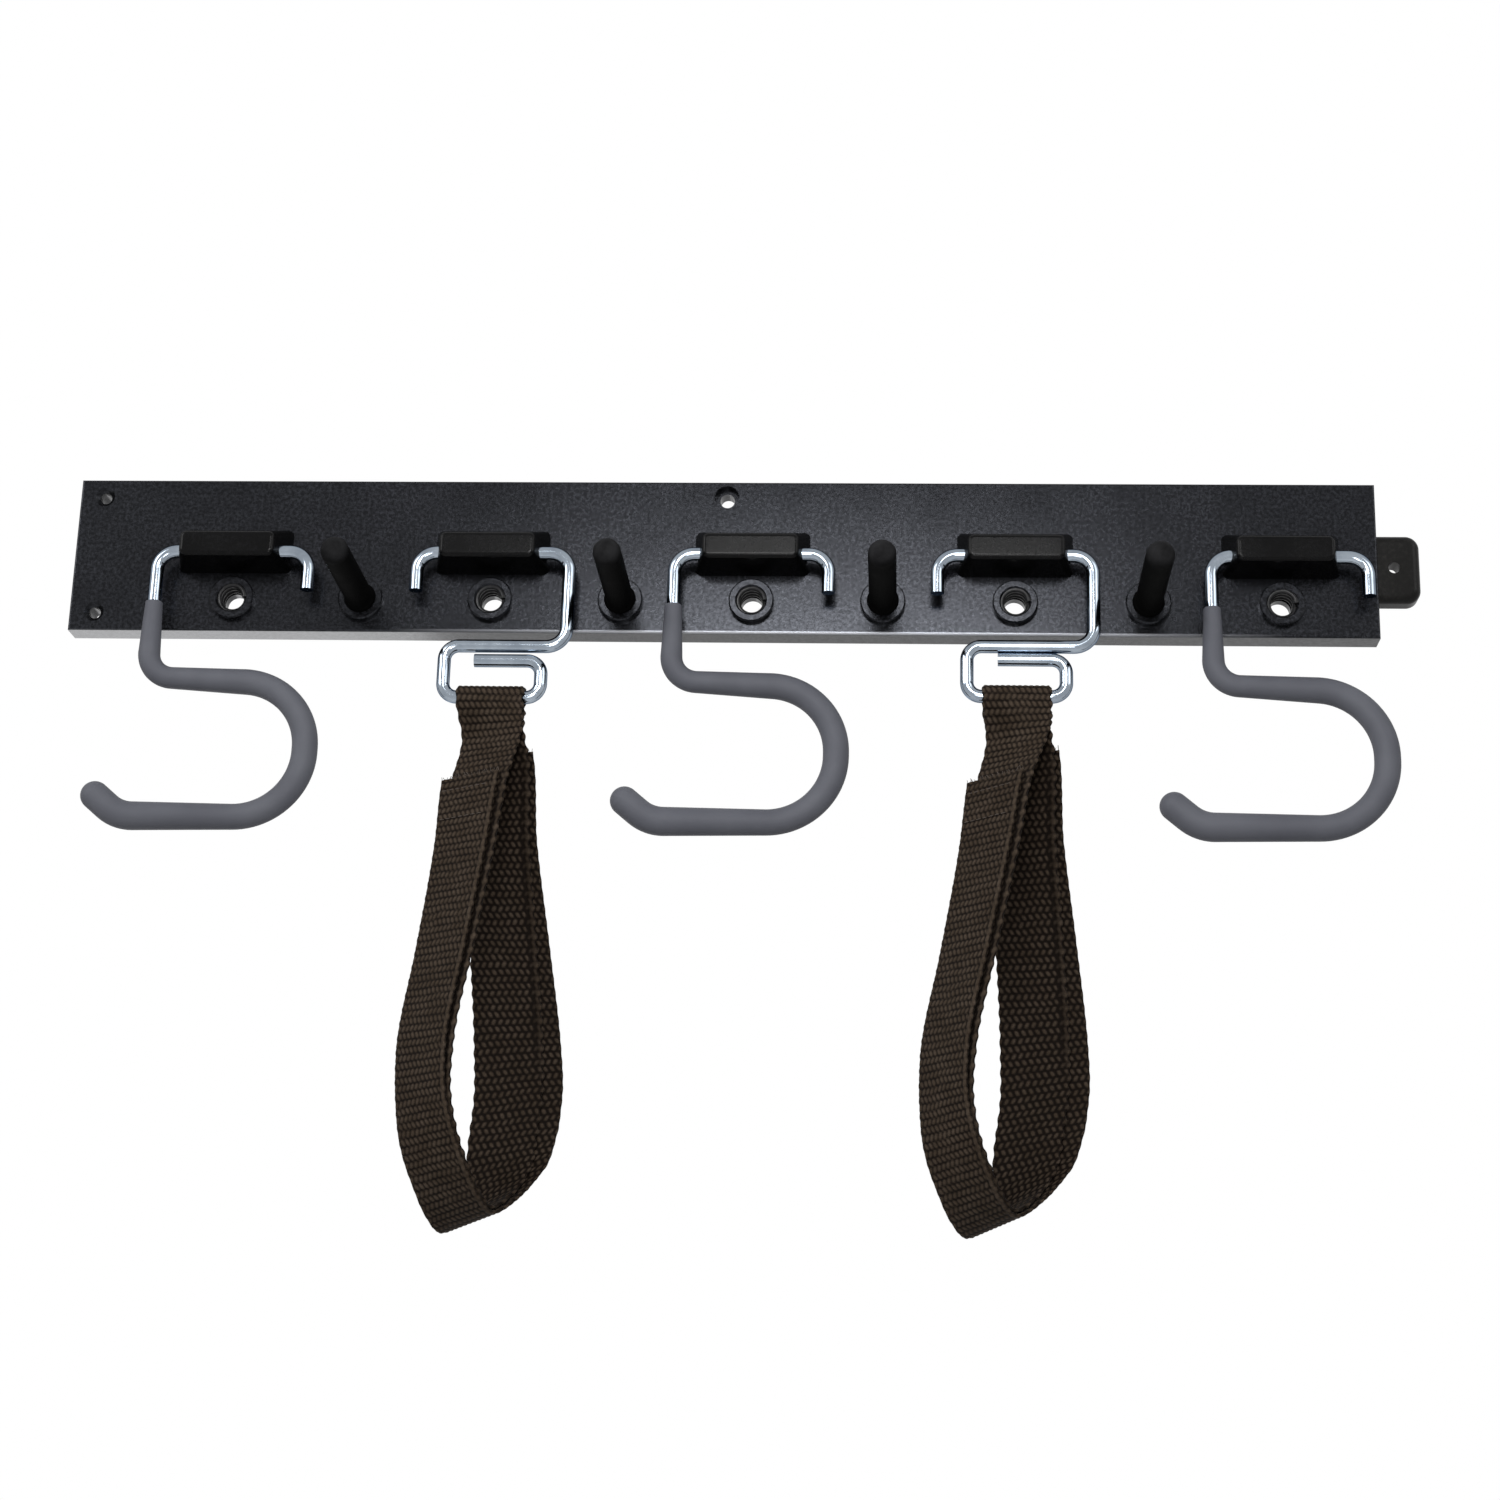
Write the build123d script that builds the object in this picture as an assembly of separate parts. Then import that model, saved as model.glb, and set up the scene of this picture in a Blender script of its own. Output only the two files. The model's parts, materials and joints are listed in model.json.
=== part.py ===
from build123d import *
import os
from math import cos, radians, sin, tan

# A storage rail for a wall, with hooks, strap hooks and pegs, in millimetres.
# X runs along the rail, Z is up and the front faces -Y. The origin is the middle of the rail's
# back face, which lies against the wall.

# Stations and pegs along the rail
boss_pitch = 50.0            # from one threaded boss to the next
boss_count = 9               # every second boss belongs to a hook station, the others hold pegs
left_margin = 63.5           # from the rail's left end to the first boss
right_margin = 36.5          # from the last boss to the rail's right end
boss_row_margin = 12.7       # height of the boss row above the rail's lower edge

# Rail plate
rail_height = 62.0
rail_thickness = 10.5
rail_edge_radius = 0.8
rail_wall = 3.0              # skin and outer walls around the cored back
rib_thickness = 2.5
column_wall = 2.4            # material left around holes and sockets in the cored back

# Threaded bosses
boss_diameter = 17.2
boss_rise = 3.0
boss_edge_chamfer = 0.5
socket_diameter = 11.2       # the thread's outer diameter
socket_mouth_diameter = 12.2
socket_depth = 9.5           # from the rim to the step
socket_back_diameter = 8.4

# Screw holes
side_hole_inset = 9.7        # from the rail's left end
side_hole_margin = 7.3       # from the rail's upper and lower edges
side_hole_diameter = 4.6
side_hole_sink = 7.6
centre_hole_shift = -10.5    # from the middle station
centre_hole_margin = 6.4     # below the rail's upper edge
centre_hole_diameter = 5.6
centre_hole_sink = 9.5
centre_hole_sink_depth = 4.0

# Hook retainers, one at each station
retainer_length = 44.0
retainer_height = 17.8
retainer_corner = 2.6
retainer_rise = 1.2          # height of the retainer's middle above the rail's middle
retainer_front_length = 36.0
retainer_front_height = 9.3
retainer_front_drop = 2.7    # from the retainer's middle to the middle of its front
retainer_front_edge = 1.7
retainer_projection = 17.0
retainer_key_inset = 1.2
retainer_key_depth = 2.5
retainer_key_clearance = 0.1
retainer_screw_spacing = 24.0
retainer_screw_rise = 3.6    # above the retainer's middle

# Retainer screws, driven from behind
screw_diameter = 3.5
screw_head_diameter = 6.8
screw_head_height = 2.2
screw_recess = 0.4
screw_reach = 5.2            # into the retainer, past the rail's front
screw_clearance = 0.06
screw_tip_gap = 0.4

# Wire and hinge
wire_diameter = 5.0
wire_clearance = 0.1         # around the wire in its retainer
hinge_standoff = 9.0         # from the rail's front to the wire's axis
hinge_height = 5.5           # from the retainer's lower edge to the wire's axis
wire_bend_radius = 7.5       # beside the retainer
wire_left_play = 1.2         # straight wire past the retainer's left end
wire_right_play = 2.5        # and past its right end
hook_slips = (0.7, 1.1, -0.4, -0.9, 1.5)   # each hook's place along its retainer, from the middle
short_leg_drop = 15.4

# Tool hooks
hook_run_start_drop = 50.8
hook_run_end_drop = 53.8
hook_arc_reach = 33.8        # right of the hook's middle
hook_low_drop = 105.5
hook_arc_radius = 25.6
hook_leg_bend_radius = 10.0
hook_tip_start = 34.9        # left of the hook's middle
hook_tip_radius = 15.0
hook_tip_length = 12.0
hook_tip_rise = 40.0         # degrees
dip_start_drop = 20.6
dip_radii = (3.25, 4.15, 4.85, 5.4)   # at its start, the first bend, the arc and the low run
dip_lip = 0.7                # rounding where the dip starts
dip_over_tip = 3.0

# Strap hooks
strap_width = 25.4
strap_eye_play = 0.35        # beside the strap in its eye
strap_eye_shifts = (2.5, 1.0)            # from each hook's middle to its eye's middle
strap_hook_run_drops = (37.6, 36.4)      # the hooks are bent by hand, so they differ a little
strap_hook_low_drops = (57.9, 56.0)
eye_bend_radius = 5.4
strap_hook_end_rise = 14.5   # from the low run to the end run
strap_hook_end_length = 20.0

# Straps: an inner loop around the eye and a cover ply on its outside
webbing_thickness = 1.5
wrap_clearance = 0.35
ply_gap = 0.35
wrap_start = -10.0           # degrees, where the loop meets the wire, below its front
wrap_steps = 8

# The loop's route below the eye: right, behind, above, turn to the front and tilt in degrees
loop_route = (
    (1.2, -0.8, -14.5, 20.0, 0.0),
    (-1.5, -6.0, -33.0, 25.0, 3.0),
    (-3.0, -11.4, -59.0, 32.0, 0.0),
    (-7.5, -15.6, -99.0, 36.0, 0.0),
    (-12.5, -17.5, -136.0, 37.0, 0.0),
    (-12.5, -17.0, -154.0, 37.0, 3.0),
    (-10.0, -15.0, -169.5, 32.0, 7.0),
    (-5.5, -10.5, -182.0, 31.0, 9.0),
    (-2.0, -4.5, -190.0, 31.0, 12.0),
    (1.0, 2.0, -193.5, 30.0, 14.0),
    (6.0, 8.5, -188.5, 20.0, 18.0),
    (10.0, 12.5, -177.5, 7.0, 14.0),
    (11.0, 15.0, -162.0, -2.0, 10.0),
    (12.0, 16.0, -147.0, -1.0, 8.0),
    (11.0, 16.0, -128.0, 0.0, 4.0),
    (7.5, 14.0, -91.5, 4.0, 0.0),
    (3.8, 10.0, -53.0, 10.0, 0.0),
    (3.0, 3.5, -21.5, 18.0, 0.0),
    (1.8, 1.0, -14.5, 20.0, 0.0),
)
cover_first = 1              # the cover ply follows the route from this row
cover_last = 17              # to this one
cover_shift = (-3.0, -2.8, -2.6, -2.0, -0.8, 0.0, 0.0, 0.0, 0.0, 2.0, 5.4, 7.6, 7.2, 6.4, 4.4, 2.2, 1.2)
strap_turns = (0.0, 11.8)    # degrees that each strap hangs turned, its right edge to the front
strap_leans = (0.0, -3.3)    # degrees that each strap leans to the right
strap_turn_drop = 33.0       # how far below the eye a strap has its whole turn

# Pegs
peg_diameter = 10.4
peg_length = 57.0            # from the rail's front to the tip
peg_shoulder_height = 2.4    # above the boss rim
peg_stem_clearance = 0.08
peg_seat_gap = 0.3

# Joining tongue at the right end
tongue_reach = 16.5
tongue_insert = 11.0
tongue_height = 27.0
tongue_thickness = 8.4
tongue_drop = 2.0            # below the rail's middle
tongue_corner = 5.2
tongue_edge_radius = 3.4
tongue_hole_diameter = 4.4
tongue_hole_reach = 6.5      # from the rail's end
tongue_clearance = 0.1
tongue_socket_depth = 17.0   # at the left end, for the next rail's tongue

# Places worked out from the sizes above
rail_length = left_margin + boss_pitch * (boss_count - 1) + right_margin
rail_left = -rail_length / 2
rail_right = rail_length / 2
boss_drop = rail_height / 2 - boss_row_margin
side_hole_height = rail_height / 2 - side_hole_margin
centre_hole_height = rail_height / 2 - centre_hole_margin
boss_places = [rail_left + left_margin + boss_pitch * i for i in range(boss_count)]
stations = boss_places[0::2]
peg_places = boss_places[1::2]
middle_station = stations[len(stations) // 2]
hook_middles = [x + slip for x, slip in zip(stations, hook_slips)]
tool_hook_middles = hook_middles[0::2]
strap_hook_middles = hook_middles[1::2]
front = rail_thickness                    # distances in front of the wall
rim = front + boss_rise
hinge_front = front + hinge_standoff
hinge_rise = retainer_rise - retainer_height / 2 + hinge_height
wire_radius = wire_diameter / 2
slot_radius = wire_radius + wire_clearance
pocket_floor = front - retainer_key_depth - retainer_key_clearance
tongue_bottom = -tongue_drop - tongue_height / 2
retainer_taper = (retainer_length - retainer_front_length) / 2 / retainer_projection
retainer_half_at_wire = retainer_length / 2 - retainer_taper * hinge_standoff
left_leg = retainer_half_at_wire + wire_left_play + wire_bend_radius
right_leg = retainer_half_at_wire + wire_right_play + wire_bend_radius


def facing(forward):
    """A plane parallel to the wall: its x is the rail's X, its y is up, its z is to the front."""
    return Plane(origin=(0, -forward, 0), x_dir=(1, 0, 0), z_dir=(0, -1, 0))


def block(x_range, forward_range, z_range):
    """A box between two places along X, in front of the wall and up."""
    low = Vector(x_range[0], -forward_range[1], z_range[0])
    high = Vector(x_range[1], -forward_range[0], z_range[1])
    size = high - low
    middle = low + size * 0.5
    return Pos(*middle) * Box(size.X, size.Y, size.Z)


def post(diameter, start, end, x, z):
    """A round bar to the front, from one distance in front of the wall to another."""
    return extrude(facing(start) * Pos(x, z) * Circle(diameter / 2), end - start)


def turned(edges, x, z):
    """A solid turned about an axis to the front; its outline is in radius and forward distance."""
    outline = Plane(origin=(x, 0, z), x_dir=(1, 0, 0), z_dir=(0, 0, -1))
    return revolve(outline * make_face(edges), Axis((x, 0, z), (0, 1, 0)), 360)


def socket_cut(x):
    """The threaded socket of a boss, with its wide mouth and its narrower way out at the back."""
    lead = (socket_mouth_diameter - socket_diameter) / 2
    outline = Polyline(
        (0, 0),
        (socket_back_diameter / 2, 0),
        (socket_back_diameter / 2, rim - socket_depth),
        (socket_diameter / 2, rim - socket_depth),
        (socket_diameter / 2, rim - lead),
        (socket_mouth_diameter / 2, rim),
        (0, rim),
        close=True,
    )
    return turned(outline, x, -boss_drop)


def countersink_cut(x, z, hole, sink):
    """A screw hole with a cone at the front."""
    depth = (sink - hole) / 2
    outline = Polyline(
        (0, 0),
        (hole / 2, 0),
        (hole / 2, front - depth),
        (sink / 2, front),
        (0, front),
        close=True,
    )
    return turned(outline, x, z)


def tongue_room(x_start, x_end, margin):
    """The space that a tongue takes in the rail's back, grown by a margin."""
    z_range = (tongue_bottom - margin, tongue_bottom + tongue_height + margin)
    return block((x_start, x_end), (0, tongue_thickness + margin), z_range)


def retainer_screw_places(x):
    """The two screws of one retainer."""
    z = retainer_rise + retainer_screw_rise
    return [(x - retainer_screw_spacing / 2, z), (x + retainer_screw_spacing / 2, z)]


def core_cut():
    """The hollows in the rail's back, between walls, ribs, boss columns, pads and sockets."""
    half_x = rail_length / 2 - rail_wall
    half_z = rail_height / 2 - rail_wall
    hollow = block((-half_x, half_x), (0, front - rail_wall), (-half_z, half_z))
    kept = [post(boss_diameter + column_wall, 0, front, x, -boss_drop) for x in boss_places]
    pad_x = retainer_length / 2 + column_wall
    pad_z = retainer_height / 2 + column_wall
    for x in stations:
        pad = (retainer_rise - pad_z, retainer_rise + pad_z)
        kept.append(block((x - pad_x, x + pad_x), (0, front), pad))
    side = side_hole_sink + 2 * column_wall
    for z in (-side_hole_height, side_hole_height):
        kept.append(post(side, 0, front, rail_left + side_hole_inset, z))
    centre = centre_hole_sink + 2 * column_wall
    kept.append(post(centre, 0, front, middle_station + centre_hole_shift, centre_hole_height))
    for i in range(boss_count + 1):
        x = boss_places[0] + boss_pitch * (i - 0.5)
        rib = (x - rib_thickness / 2, x + rib_thickness / 2)
        kept.append(block(rib, (0, front), (-half_z, half_z)))
    kept.append(tongue_room(rail_right - tongue_insert - column_wall, rail_right, column_wall))
    kept.append(tongue_room(rail_left, rail_left + tongue_socket_depth + column_wall, column_wall))
    return hollow - kept


def make_rail():
    """The moulded rail with its bosses, retainer pockets, wire ribs, screw holes and cored back."""
    rail = extrude(facing(0) * Rectangle(rail_length, rail_height), front)
    rail = fillet(rail.faces().sort_by(Axis.Y)[0].edges(), rail_edge_radius)
    rail -= core_cut()
    for x in boss_places:
        boss = post(boss_diameter, front - rail_wall, rim, x, -boss_drop)
        rail += chamfer(boss.faces().sort_by(Axis.Y)[0].edges(), boss_edge_chamfer)
    rail -= [socket_cut(x) for x in boss_places]
    inset = retainer_key_inset - retainer_key_clearance
    for x in stations:
        pocket = RectangleRounded(
            retainer_length - 2 * inset, retainer_height - 2 * inset, retainer_corner
        )
        rail -= extrude(facing(pocket_floor) * Pos(x, retainer_rise) * pocket, front - pocket_floor)
        rib_x = retainer_front_length / 2
        rib_z = slot_radius - 2 * wire_clearance
        rail += block(
            (x - rib_x, x + rib_x),
            (pocket_floor, hinge_front - slot_radius),
            (hinge_rise - rib_z, hinge_rise + rib_z),
        )
        head = screw_head_diameter + 2 * screw_clearance
        hole = screw_diameter + 2 * screw_clearance
        for screw_x, screw_z in retainer_screw_places(x):
            rail -= post(hole, 0, front, screw_x, screw_z)
            rail -= post(head, 0, screw_recess, screw_x, screw_z)
            rail -= screw_head_cone(screw_x, screw_z, screw_clearance)
    hole_x = rail_left + side_hole_inset
    for z in (-side_hole_height, side_hole_height):
        rail -= countersink_cut(hole_x, z, side_hole_diameter, side_hole_sink)
    centre_x = middle_station + centre_hole_shift
    rail -= post(centre_hole_diameter, 0, front, centre_x, centre_hole_height)
    sink_start = front - centre_hole_sink_depth
    rail -= post(centre_hole_sink, sink_start, front, centre_x, centre_hole_height)
    rail -= tongue_room(rail_right - tongue_insert, rail_right, tongue_clearance)
    rail -= tongue_room(rail_left, rail_left + tongue_socket_depth, tongue_clearance)
    return rail


def screw_head_cone(x, z, margin):
    """The countersunk head of a retainer screw, grown by a margin."""
    outline = Polyline(
        (0, screw_recess),
        (screw_head_diameter / 2 + margin, screw_recess),
        (screw_diameter / 2 + margin, screw_recess + screw_head_height),
        (0, screw_recess + screw_head_height),
        close=True,
    )
    return turned(outline, x, z)


def make_retainer_screw(x, z):
    """One retainer screw, head at the back and point to the front."""
    shank = post(screw_diameter, screw_recess + screw_head_height, front + screw_reach, x, z)
    return screw_head_cone(x, z, 0) + shank


def make_retainer(x):
    """The saddle that holds a hook's wire: a tapered block with a slot that opens at the back."""
    nose = -front - retainer_projection
    nose_middle = retainer_rise - retainer_front_drop
    plan = Polyline(
        (x - retainer_length / 2, -front),
        (x - retainer_front_length / 2, nose),
        (x + retainer_front_length / 2, nose),
        (x + retainer_length / 2, -front),
        close=True,
    )
    side = Polyline(
        (-front, retainer_rise - retainer_height / 2),
        (-front, retainer_rise + retainer_height / 2),
        (nose, nose_middle + retainer_front_height / 2),
        (nose, nose_middle - retainer_front_height / 2),
        close=True,
    )
    saddle = extrude(Plane.XY * make_face(plan), retainer_height, both=True)
    saddle &= extrude(Plane.YZ.offset(x) * make_face(side), retainer_length, both=True)
    slanted = [e for e in saddle.edges() if e.position_at(0).Y != e.position_at(1).Y]
    saddle = fillet(slanted, retainer_corner)
    saddle = fillet(saddle.faces().sort_by(Axis.Y)[0].edges(), retainer_front_edge)
    key = RectangleRounded(
        retainer_length - 2 * retainer_key_inset,
        retainer_height - 2 * retainer_key_inset,
        retainer_corner,
    )
    key_start = front - retainer_key_depth
    saddle += extrude(facing(key_start) * Pos(x, retainer_rise) * key, retainer_key_depth)
    reach = (x - retainer_length, x + retainer_length)
    slot = (hinge_rise - slot_radius, hinge_rise + slot_radius)
    saddle -= block(reach, (0, hinge_front), slot)
    bar = Plane(origin=(reach[0], -hinge_front, hinge_rise), z_dir=(1, 0, 0)) * Circle(slot_radius)
    saddle -= extrude(bar, 2 * retainer_length)
    hole = screw_diameter + 2 * screw_clearance
    for screw_x, screw_z in retainer_screw_places(x):
        saddle -= post(hole, 0, front + screw_reach + screw_tip_gap, screw_x, screw_z)
    return saddle


def make_peg(x):
    """A peg with a domed tip, a round shoulder in the boss mouth and a stem in its socket."""
    radius = peg_diameter / 2
    stem = socket_diameter / 2 - peg_stem_clearance
    seat = socket_mouth_diameter / 2 - peg_stem_clearance
    lead = (socket_mouth_diameter - socket_diameter) / 2
    tip = front + peg_length
    foot = rim - socket_depth + peg_seat_gap
    shoulder = rim + peg_shoulder_height
    profile = Curve() + [
        Line((0, foot), (stem, foot)),
        Line((stem, foot), (stem, rim - lead)),
        Line((stem, rim - lead), (seat, rim)),
        TangentArc((seat, rim), (radius, shoulder), tangent=(0, 1)),
        Line((radius, shoulder), (radius, tip - radius)),
        TangentArc((radius, tip - radius), (0, tip), tangent=(0, 1)),
        Line((0, tip), (0, foot)),
    ]
    return turned(profile, x, -boss_drop)


def make_tongue():
    """The rounded tongue that joins this rail to the next one and takes a wall screw."""
    start = rail_right - tongue_insert
    end = rail_right + tongue_reach
    z_range = (tongue_bottom, tongue_bottom + tongue_height)
    tongue = block((start, end), (0, tongue_thickness), z_range)
    corners = tongue.edges().filter_by(Axis.Y).group_by(Axis.X)[-1]
    tongue = fillet(corners, tongue_corner)
    face_edges = tongue.faces().sort_by(Axis.Y)[0].edges()
    seated = face_edges.filter_by(Axis.Z).sort_by(Axis.X)[0]
    tongue = fillet(face_edges - [seated], tongue_edge_radius)
    hole_x = rail_right + tongue_hole_reach
    return tongue - post(tongue_hole_diameter, 0, tongue_thickness, hole_x, -tongue_drop)


def at_hinge(x, right, up):
    """A point of a hook in its own plane, right of its middle and above its hinge."""
    return (x + right, -hinge_front, hinge_rise + up)


def round_bar(path, radius):
    """A round bar along a path."""
    return sweep(Plane(origin=path @ 0, z_dir=path % 0) * Circle(radius), path=path)


def hook_tip(shortening):
    """The tip's end, right of the hook's middle and above its hinge, cut short by a length."""
    rise = radians(hook_tip_rise)
    length = hook_tip_length - shortening
    return (-hook_tip_start - length * cos(rise), -hook_low_drop + length * sin(rise))


def make_tool_hook(x):
    """The S-shaped wire of a tool hook, from its short leg to its tip."""
    path = FilletPolyline(
        at_hinge(x, right_leg, -short_leg_drop),
        at_hinge(x, right_leg, 0),
        at_hinge(x, -left_leg, 0),
        at_hinge(x, -left_leg, -hook_run_start_drop),
        at_hinge(x, hook_arc_reach, -hook_run_end_drop),
        at_hinge(x, hook_arc_reach, -hook_low_drop),
        at_hinge(x, -hook_tip_start, -hook_low_drop),
        at_hinge(x, *hook_tip(dip_over_tip)),
        radius=[
            wire_bend_radius,
            wire_bend_radius,
            hook_leg_bend_radius,
            hook_arc_radius,
            hook_arc_radius,
            hook_tip_radius,
        ],
    )
    return round_bar(path, wire_radius)


def make_dip(x, wire):
    """The soft coating on a tool hook, thicker towards its rounded tip."""
    path = FilletPolyline(
        at_hinge(x, -left_leg, -dip_start_drop),
        at_hinge(x, -left_leg, -hook_run_start_drop),
        at_hinge(x, hook_arc_reach, -hook_run_end_drop),
        at_hinge(x, hook_arc_reach, -hook_low_drop),
        at_hinge(x, -hook_tip_start, -hook_low_drop),
        at_hinge(x, *hook_tip(0)),
        radius=[hook_leg_bend_radius, hook_arc_radius, hook_arc_radius, hook_tip_radius],
    )
    lead, bend, arc, low = dip_radii
    line_ends = iter([(lead, bend), (bend, arc), (arc, arc), (arc, low), (low, low)])
    dip = Part()
    thick = lead
    for edge in path.order_edges():
        start = Plane(origin=edge @ 0, z_dir=edge % 0)
        if edge.geom_type == GeomType.LINE:
            thin, thick = next(line_ends)
            end = Plane(origin=edge @ 1, z_dir=edge % 1)
            dip += loft([start * Circle(thin), end * Circle(thick)])
        else:
            dip += sweep(start * Circle(thick), path=edge)
    dip += Pos(*(path @ 1)) * Sphere(low)
    lip = dip.faces().sort_by(Axis.Z)[-1].edges()
    return fillet(lip, min(dip_lip, lead - wire_radius - wire_clearance)) - wire


def make_strap_hook(x, eye_shift, run_drop, low_drop):
    """The wire of a strap hook: a frame below the hinge that ends in an eye for the strap."""
    half_eye = strap_width / 2 + strap_eye_play + eye_bend_radius
    eye_left = eye_shift - half_eye
    eye_right = eye_shift + half_eye
    end_drop = low_drop - strap_hook_end_rise
    path = FilletPolyline(
        at_hinge(x, -left_leg, -short_leg_drop),
        at_hinge(x, -left_leg, 0),
        at_hinge(x, right_leg, 0),
        at_hinge(x, right_leg, -run_drop),
        at_hinge(x, eye_left, -run_drop),
        at_hinge(x, eye_left, -low_drop),
        at_hinge(x, eye_right, -low_drop),
        at_hinge(x, eye_right, -end_drop),
        at_hinge(x, eye_right - eye_bend_radius - strap_hook_end_length, -end_drop),
        radius=[wire_bend_radius] * 3 + [eye_bend_radius] * 4,
    )
    return round_bar(path, wire_radius)


def route_rows(eye, strap_turn, strap_lean):
    """The centres of the loop below the eye and the directions across the webbing there."""
    rows = []
    for right, behind, above, turn, tilt in loop_route:
        turned_by = strap_turn * min(1, -above / strap_turn_drop)
        centre = Vector(right, behind, above).rotate(Axis.Z, -turned_by)
        leant = Vector(-above * tan(radians(strap_lean)), 0, 0)
        across = Vector(cos(radians(tilt)), 0, sin(radians(tilt)))
        rows.append((eye + centre + leant, across.rotate(Axis.Z, -turn - turned_by)))
    return rows


def wrap_rows(eye):
    """The centres and directions of the webbing where it goes over the wire, from back to front."""
    radius = wire_radius + wrap_clearance + webbing_thickness / 2
    step = (180 - 2 * wrap_start) / wrap_steps
    rows = []
    for i in range(wrap_steps + 1):
        angle = radians(180 - wrap_start - step * i)
        centre = eye + Vector(0, -cos(angle), sin(angle)) * radius
        rows.append((centre, Vector(1, 0, 0)))
    return rows


def section_normals(rows, closed):
    """The directions through the webbing, away from the loop's inside."""
    normals = []
    for i, (centre, across) in enumerate(rows):
        before = rows[i - 1][0] if i > 0 or closed else centre
        after = rows[(i + 1) % len(rows)][0] if i + 1 < len(rows) or closed else centre
        normals.append((after - before).cross(across).normalized())
    return normals


def webbing(rows, normals):
    """A length of webbing through rows of centres and directions."""
    wires = []
    for (centre, across), normal in zip(rows, normals):
        side = across * (strap_width / 2)
        skin = normal * (webbing_thickness / 2)
        corners = [
            centre - side - skin,
            centre + side - skin,
            centre + side + skin,
            centre - side + skin,
        ]
        wires.append(Wire.make_polygon(corners, close=True))
    spans = [Solid.make_loft(pair, ruled=True) for pair in zip(wires, wires[1:])]
    return spans[0].fuse(*spans[1:])


def make_strap_loop(eye, route):
    """The inner ply: one closed loop over the wire, drawn together below it."""
    rows = wrap_rows(eye) + route
    normals = section_normals(rows, closed=True)
    return webbing(rows + rows[:1], normals + normals[:1])


def make_strap_cover(rows):
    """The cover ply, sewn to the outside of the loop and cut off short of the eye."""
    normals = section_normals(rows, closed=False)
    offset = webbing_thickness + ply_gap
    cover = []
    for i, shift in zip(range(cover_first, cover_last + 1), cover_shift):
        centre, across = rows[i]
        cover.append((centre + normals[i] * offset + across * shift, across))
    return webbing(cover, normals[cover_first:cover_last + 1])


def main():
    os.makedirs("parts", exist_ok=True)
    nodes = {"rail_body": make_rail(), "joining_tongue": make_tongue()}
    screws = []
    for i, x in enumerate(stations, 1):
        nodes[f"hook_retainer_{i}"] = make_retainer(x)
        screws += [make_retainer_screw(*place) for place in retainer_screw_places(x)]
    nodes["retainer_screws"] = Compound(children=screws)
    for i, x in enumerate(peg_places, 1):
        nodes[f"peg_{i}"] = make_peg(x)
    for i, x in enumerate(tool_hook_middles, 1):
        wire = make_tool_hook(x)
        nodes[f"tool_hook_wire_{i}"] = wire
        nodes[f"tool_hook_dip_{i}"] = make_dip(x, wire)
    for i, x in enumerate(strap_hook_middles):
        eye_shift = strap_eye_shifts[i]
        low_drop = strap_hook_low_drops[i]
        eye = Vector(*at_hinge(x, eye_shift, -low_drop))
        route = route_rows(eye, strap_turns[i], strap_leans[i])
        hook = make_strap_hook(x, eye_shift, strap_hook_run_drops[i], low_drop)
        nodes[f"strap_hook_wire_{i + 1}"] = hook
        nodes[f"strap_loop_{i + 1}"] = make_strap_loop(eye, route)
        nodes[f"strap_cover_{i + 1}"] = make_strap_cover(route)
    for name, shape in nodes.items():
        export_step(shape, f"parts/{name}.step")


main()
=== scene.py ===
import json
import math

import bpy
import numpy as np
from mathutils import Matrix, Vector


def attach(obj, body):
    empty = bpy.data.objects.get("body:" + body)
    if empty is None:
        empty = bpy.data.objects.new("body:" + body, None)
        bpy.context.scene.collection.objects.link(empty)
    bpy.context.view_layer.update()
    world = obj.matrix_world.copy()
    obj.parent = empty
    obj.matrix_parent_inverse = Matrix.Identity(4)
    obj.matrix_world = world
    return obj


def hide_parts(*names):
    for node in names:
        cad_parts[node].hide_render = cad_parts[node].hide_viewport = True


# The finished look of a storage rail, in metres, in the frame of its solids: X runs along the rail,
# Z is up, the front faces -Y and the wall is at Y = 0.

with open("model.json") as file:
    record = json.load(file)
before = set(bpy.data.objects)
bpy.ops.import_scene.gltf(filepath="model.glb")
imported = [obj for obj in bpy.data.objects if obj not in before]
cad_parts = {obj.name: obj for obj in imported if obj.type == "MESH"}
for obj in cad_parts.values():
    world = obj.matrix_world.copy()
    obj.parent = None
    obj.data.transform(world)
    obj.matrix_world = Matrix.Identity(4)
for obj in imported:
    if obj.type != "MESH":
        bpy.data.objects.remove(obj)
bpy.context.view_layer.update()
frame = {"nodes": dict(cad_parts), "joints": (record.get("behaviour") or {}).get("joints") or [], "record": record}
solids = frame["nodes"]
record = frame["record"]

MM = 0.001

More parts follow.
